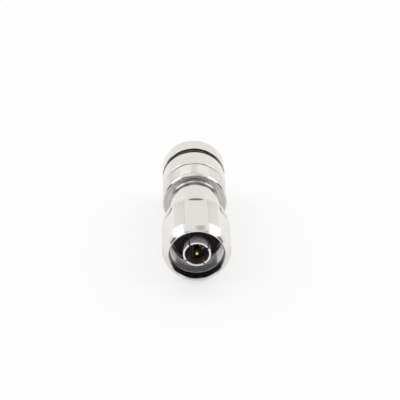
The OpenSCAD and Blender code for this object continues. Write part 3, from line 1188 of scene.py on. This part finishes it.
@dataclass
class Studio:
    """Pale floor, two soft boxes, the room round them and the camera."""

    floor_height: float = field(default_factory=lambda: cad_box[0][2])
    floor_size: float = 6.0
    floor_colour: Triple = (0.98, 0.98, 0.98)
    floor_roughness: float = 0.7
    floor_white: float = 0.65
    mirrored_white: float = 0.2
    shadow_reach: Span = (0.05, 0.35)
    box_width: float = 1.3
    box_height: float = 0.4
    box_distance: float = 0.75
    box_elevation: float = 37.0
    box_azimuth: float = 89.0
    box_power: float = 1.9
    dark_wall: Triple = (0.11, 0.11, 0.115)
    bright_wall: Triple = (0.93, 0.915, 0.90)
    past_floor: Triple = (1.0, 1.0, 1.0)
    dark_side: Span = (-0.3, -0.08)
    dark_height: Span = (0.64, 0.8)
    arm_middle: Triple = (0.18, -0.17, 0.95)
    arm_reach: Triple = (0.22, 0.42, 0.6)
    arm_edge: Span = (0.75, 1.25)
    arm_level: float = 0.55
    lens: float = 93.67
    clip_start: float = 0.01
    distance: float = 0.3
    pitch: float = 30.72
    yaw: float = -1.49
    aim: Triple = (0.00106, 0.00741, 0.01387)

    def seen(self, tree: Tree) -> Socket:
        """Tells rays that look at the floor, straight or in metal, from those that light the piece.

        Args:
            tree: The floor's tree.

        Returns:
            The floor's share of white: for a camera ray the most, and more with distance, for a
            glossy or transmission ray less, and for others none.
        """
        path = tree.nodes.new("ShaderNodeLightPath").outputs
        mirrored = calc(tree, "MAXIMUM", path["Is Glossy Ray"], path["Is Transmission Ray"])
        mirrored = calc(tree, "MULTIPLY", mirrored, self.mirrored_white)
        distance = tree.nodes.new("ShaderNodeVectorMath")
        distance.operation = "LENGTH"
        tree.links.new(tree.nodes.new("ShaderNodeTexCoord").outputs["Object"], distance.inputs[0])
        white = spread(tree, distance.outputs["Value"], *self.shadow_reach, self.floor_white)
        straight = calc(tree, "MULTIPLY", path["Is Camera Ray"], white)
        return calc(tree, "MAXIMUM", straight, mirrored)

    def floor(self) -> None:
        """Lays the floor, which shows white to the camera and keeps a faint shadow."""
        select_none()
        bpy.ops.mesh.primitive_plane_add(size=self.floor_size, location=(0, 0, self.floor_height))
        floor = bpy.context.active_object
        floor.name = "studio_floor"
        material = bpy.data.materials.new("studio_floor")
        material.use_nodes = True
        tree = material.node_tree
        shader = tree.nodes["Principled BSDF"]
        shader.inputs["Base Color"].default_value = (*self.floor_colour, 1)
        shader.inputs["Roughness"].default_value = self.floor_roughness
        glow = tree.nodes.new("ShaderNodeEmission")
        mix = tree.nodes.new("ShaderNodeMixShader")
        tree.links.new(self.seen(tree), mix.inputs[0])
        tree.links.new(shader.outputs[0], mix.inputs[1])
        tree.links.new(glow.outputs[0], mix.inputs[2])
        tree.links.new(mix.outputs[0], tree.nodes["Material Output"].inputs["Surface"])
        floor.data.materials.append(material)

    def soft_box(self, name: str, side: float) -> None:
        """Hangs a soft box to one side.

        Args:
            name: Its name.
            side: -1 for left and 1 for right.
        """
        elevation, azimuth = math.radians(self.box_elevation), math.radians(self.box_azimuth)
        across = side * math.sin(azimuth) * math.cos(elevation)
        along = math.cos(azimuth) * math.cos(elevation)
        place = Vector((across, along, math.sin(elevation))) * self.box_distance
        bpy.ops.object.light_add(type="AREA", location=place)
        lamp = bpy.context.active_object
        lamp.name = name
        lamp.rotation_euler = place.to_track_quat("Z", "Y").to_euler()
        lamp.data.shape = "RECTANGLE"
        lamp.data.size = self.box_width
        lamp.data.size_y = self.box_height
        lamp.data.energy = self.box_power
        lamp.visible_camera = False

    def room(self) -> None:
        """Sets the room: bright behind, dark on the camera's side and white past the floor."""
        world = bpy.data.worlds.new("studio_room")
        bpy.context.scene.world = world
        world.use_nodes = True
        tree = world.node_tree
        background = tree.nodes["Background"]
        place = tree.nodes.new("ShaderNodeTexCoord").outputs["Generated"]
        split = tree.nodes.new("ShaderNodeSeparateXYZ")
        tree.links.new(place, split.inputs[0])
        beside = spread(tree, split.outputs["Y"], *self.dark_side)
        above = spread(tree, split.outputs["Z"], *self.dark_height)
        lit = calc(tree, "MAXIMUM", beside, above)
        lit = calc(tree, "MULTIPLY", lit, self.clear_of_arm(tree, split))
        wall = mix_colours(tree, lit, self.dark_wall, self.bright_wall)
        straight = tree.nodes.new("ShaderNodeLightPath").outputs["Is Camera Ray"]
        colour = mix_colours(tree, straight, wall, self.past_floor)
        tree.links.new(colour, background.inputs["Color"])

    def clear_of_arm(self, tree: Tree, split: bpy.types.Node) -> Socket:
        """Darkens the ceiling where a boom arm hangs overhead.

        Args:
            tree: The world's tree.
            split: The direction as X, Y and Z.

        Returns:
            How much light the ceiling gives.
        """
        squares = []
        for socket, middle, reach in zip(split.outputs, self.arm_middle, self.arm_reach):
            off = calc(tree, "DIVIDE", calc(tree, "SUBTRACT", socket, middle), reach)
            squares.append(calc(tree, "MULTIPLY", off, off))
        squares = calc(tree, "ADD", calc(tree, "ADD", squares[0], squares[1]), squares[2])
        off = calc(tree, "SQRT", squares)
        return spread(tree, off, *self.arm_edge, self.arm_level)

    def camera(self) -> None:
        """Sets the camera up on its line of sight."""
        pitch, yaw = math.radians(self.pitch), math.radians(self.yaw)
        level = math.cos(pitch)
        sight = Vector((-math.sin(yaw) * level, math.cos(yaw) * level, -math.sin(pitch)))
        bpy.ops.object.camera_add(
            location=Vector(self.aim) - sight * self.distance,
            rotation=(math.pi / 2 - pitch, 0, yaw),
        )
        camera = bpy.context.active_object
        camera.data.lens = self.lens
        camera.data.clip_start = self.clip_start
        bpy.context.scene.camera = camera

    def build(self) -> None:
        """Sets up the studio."""
        self.floor()
        self.soft_box("soft_box_left", -1)
        self.soft_box("soft_box_right", 1)
        self.room()
        self.camera()
        bpy.context.scene.view_settings.view_transform = "Standard"


def main() -> None:
    """Builds the pieces in order, then the studio."""
    logging.basicConfig(level=logging.INFO, format="%(message)s")
    workshop = Workshop()
    for assembly in (CouplingNut(), MainBody(), MatingFace(), ClampNut(), InnerPieces()):
        assembly.build(workshop)
    Studio().build()


if __name__ == "__main__":
    main()
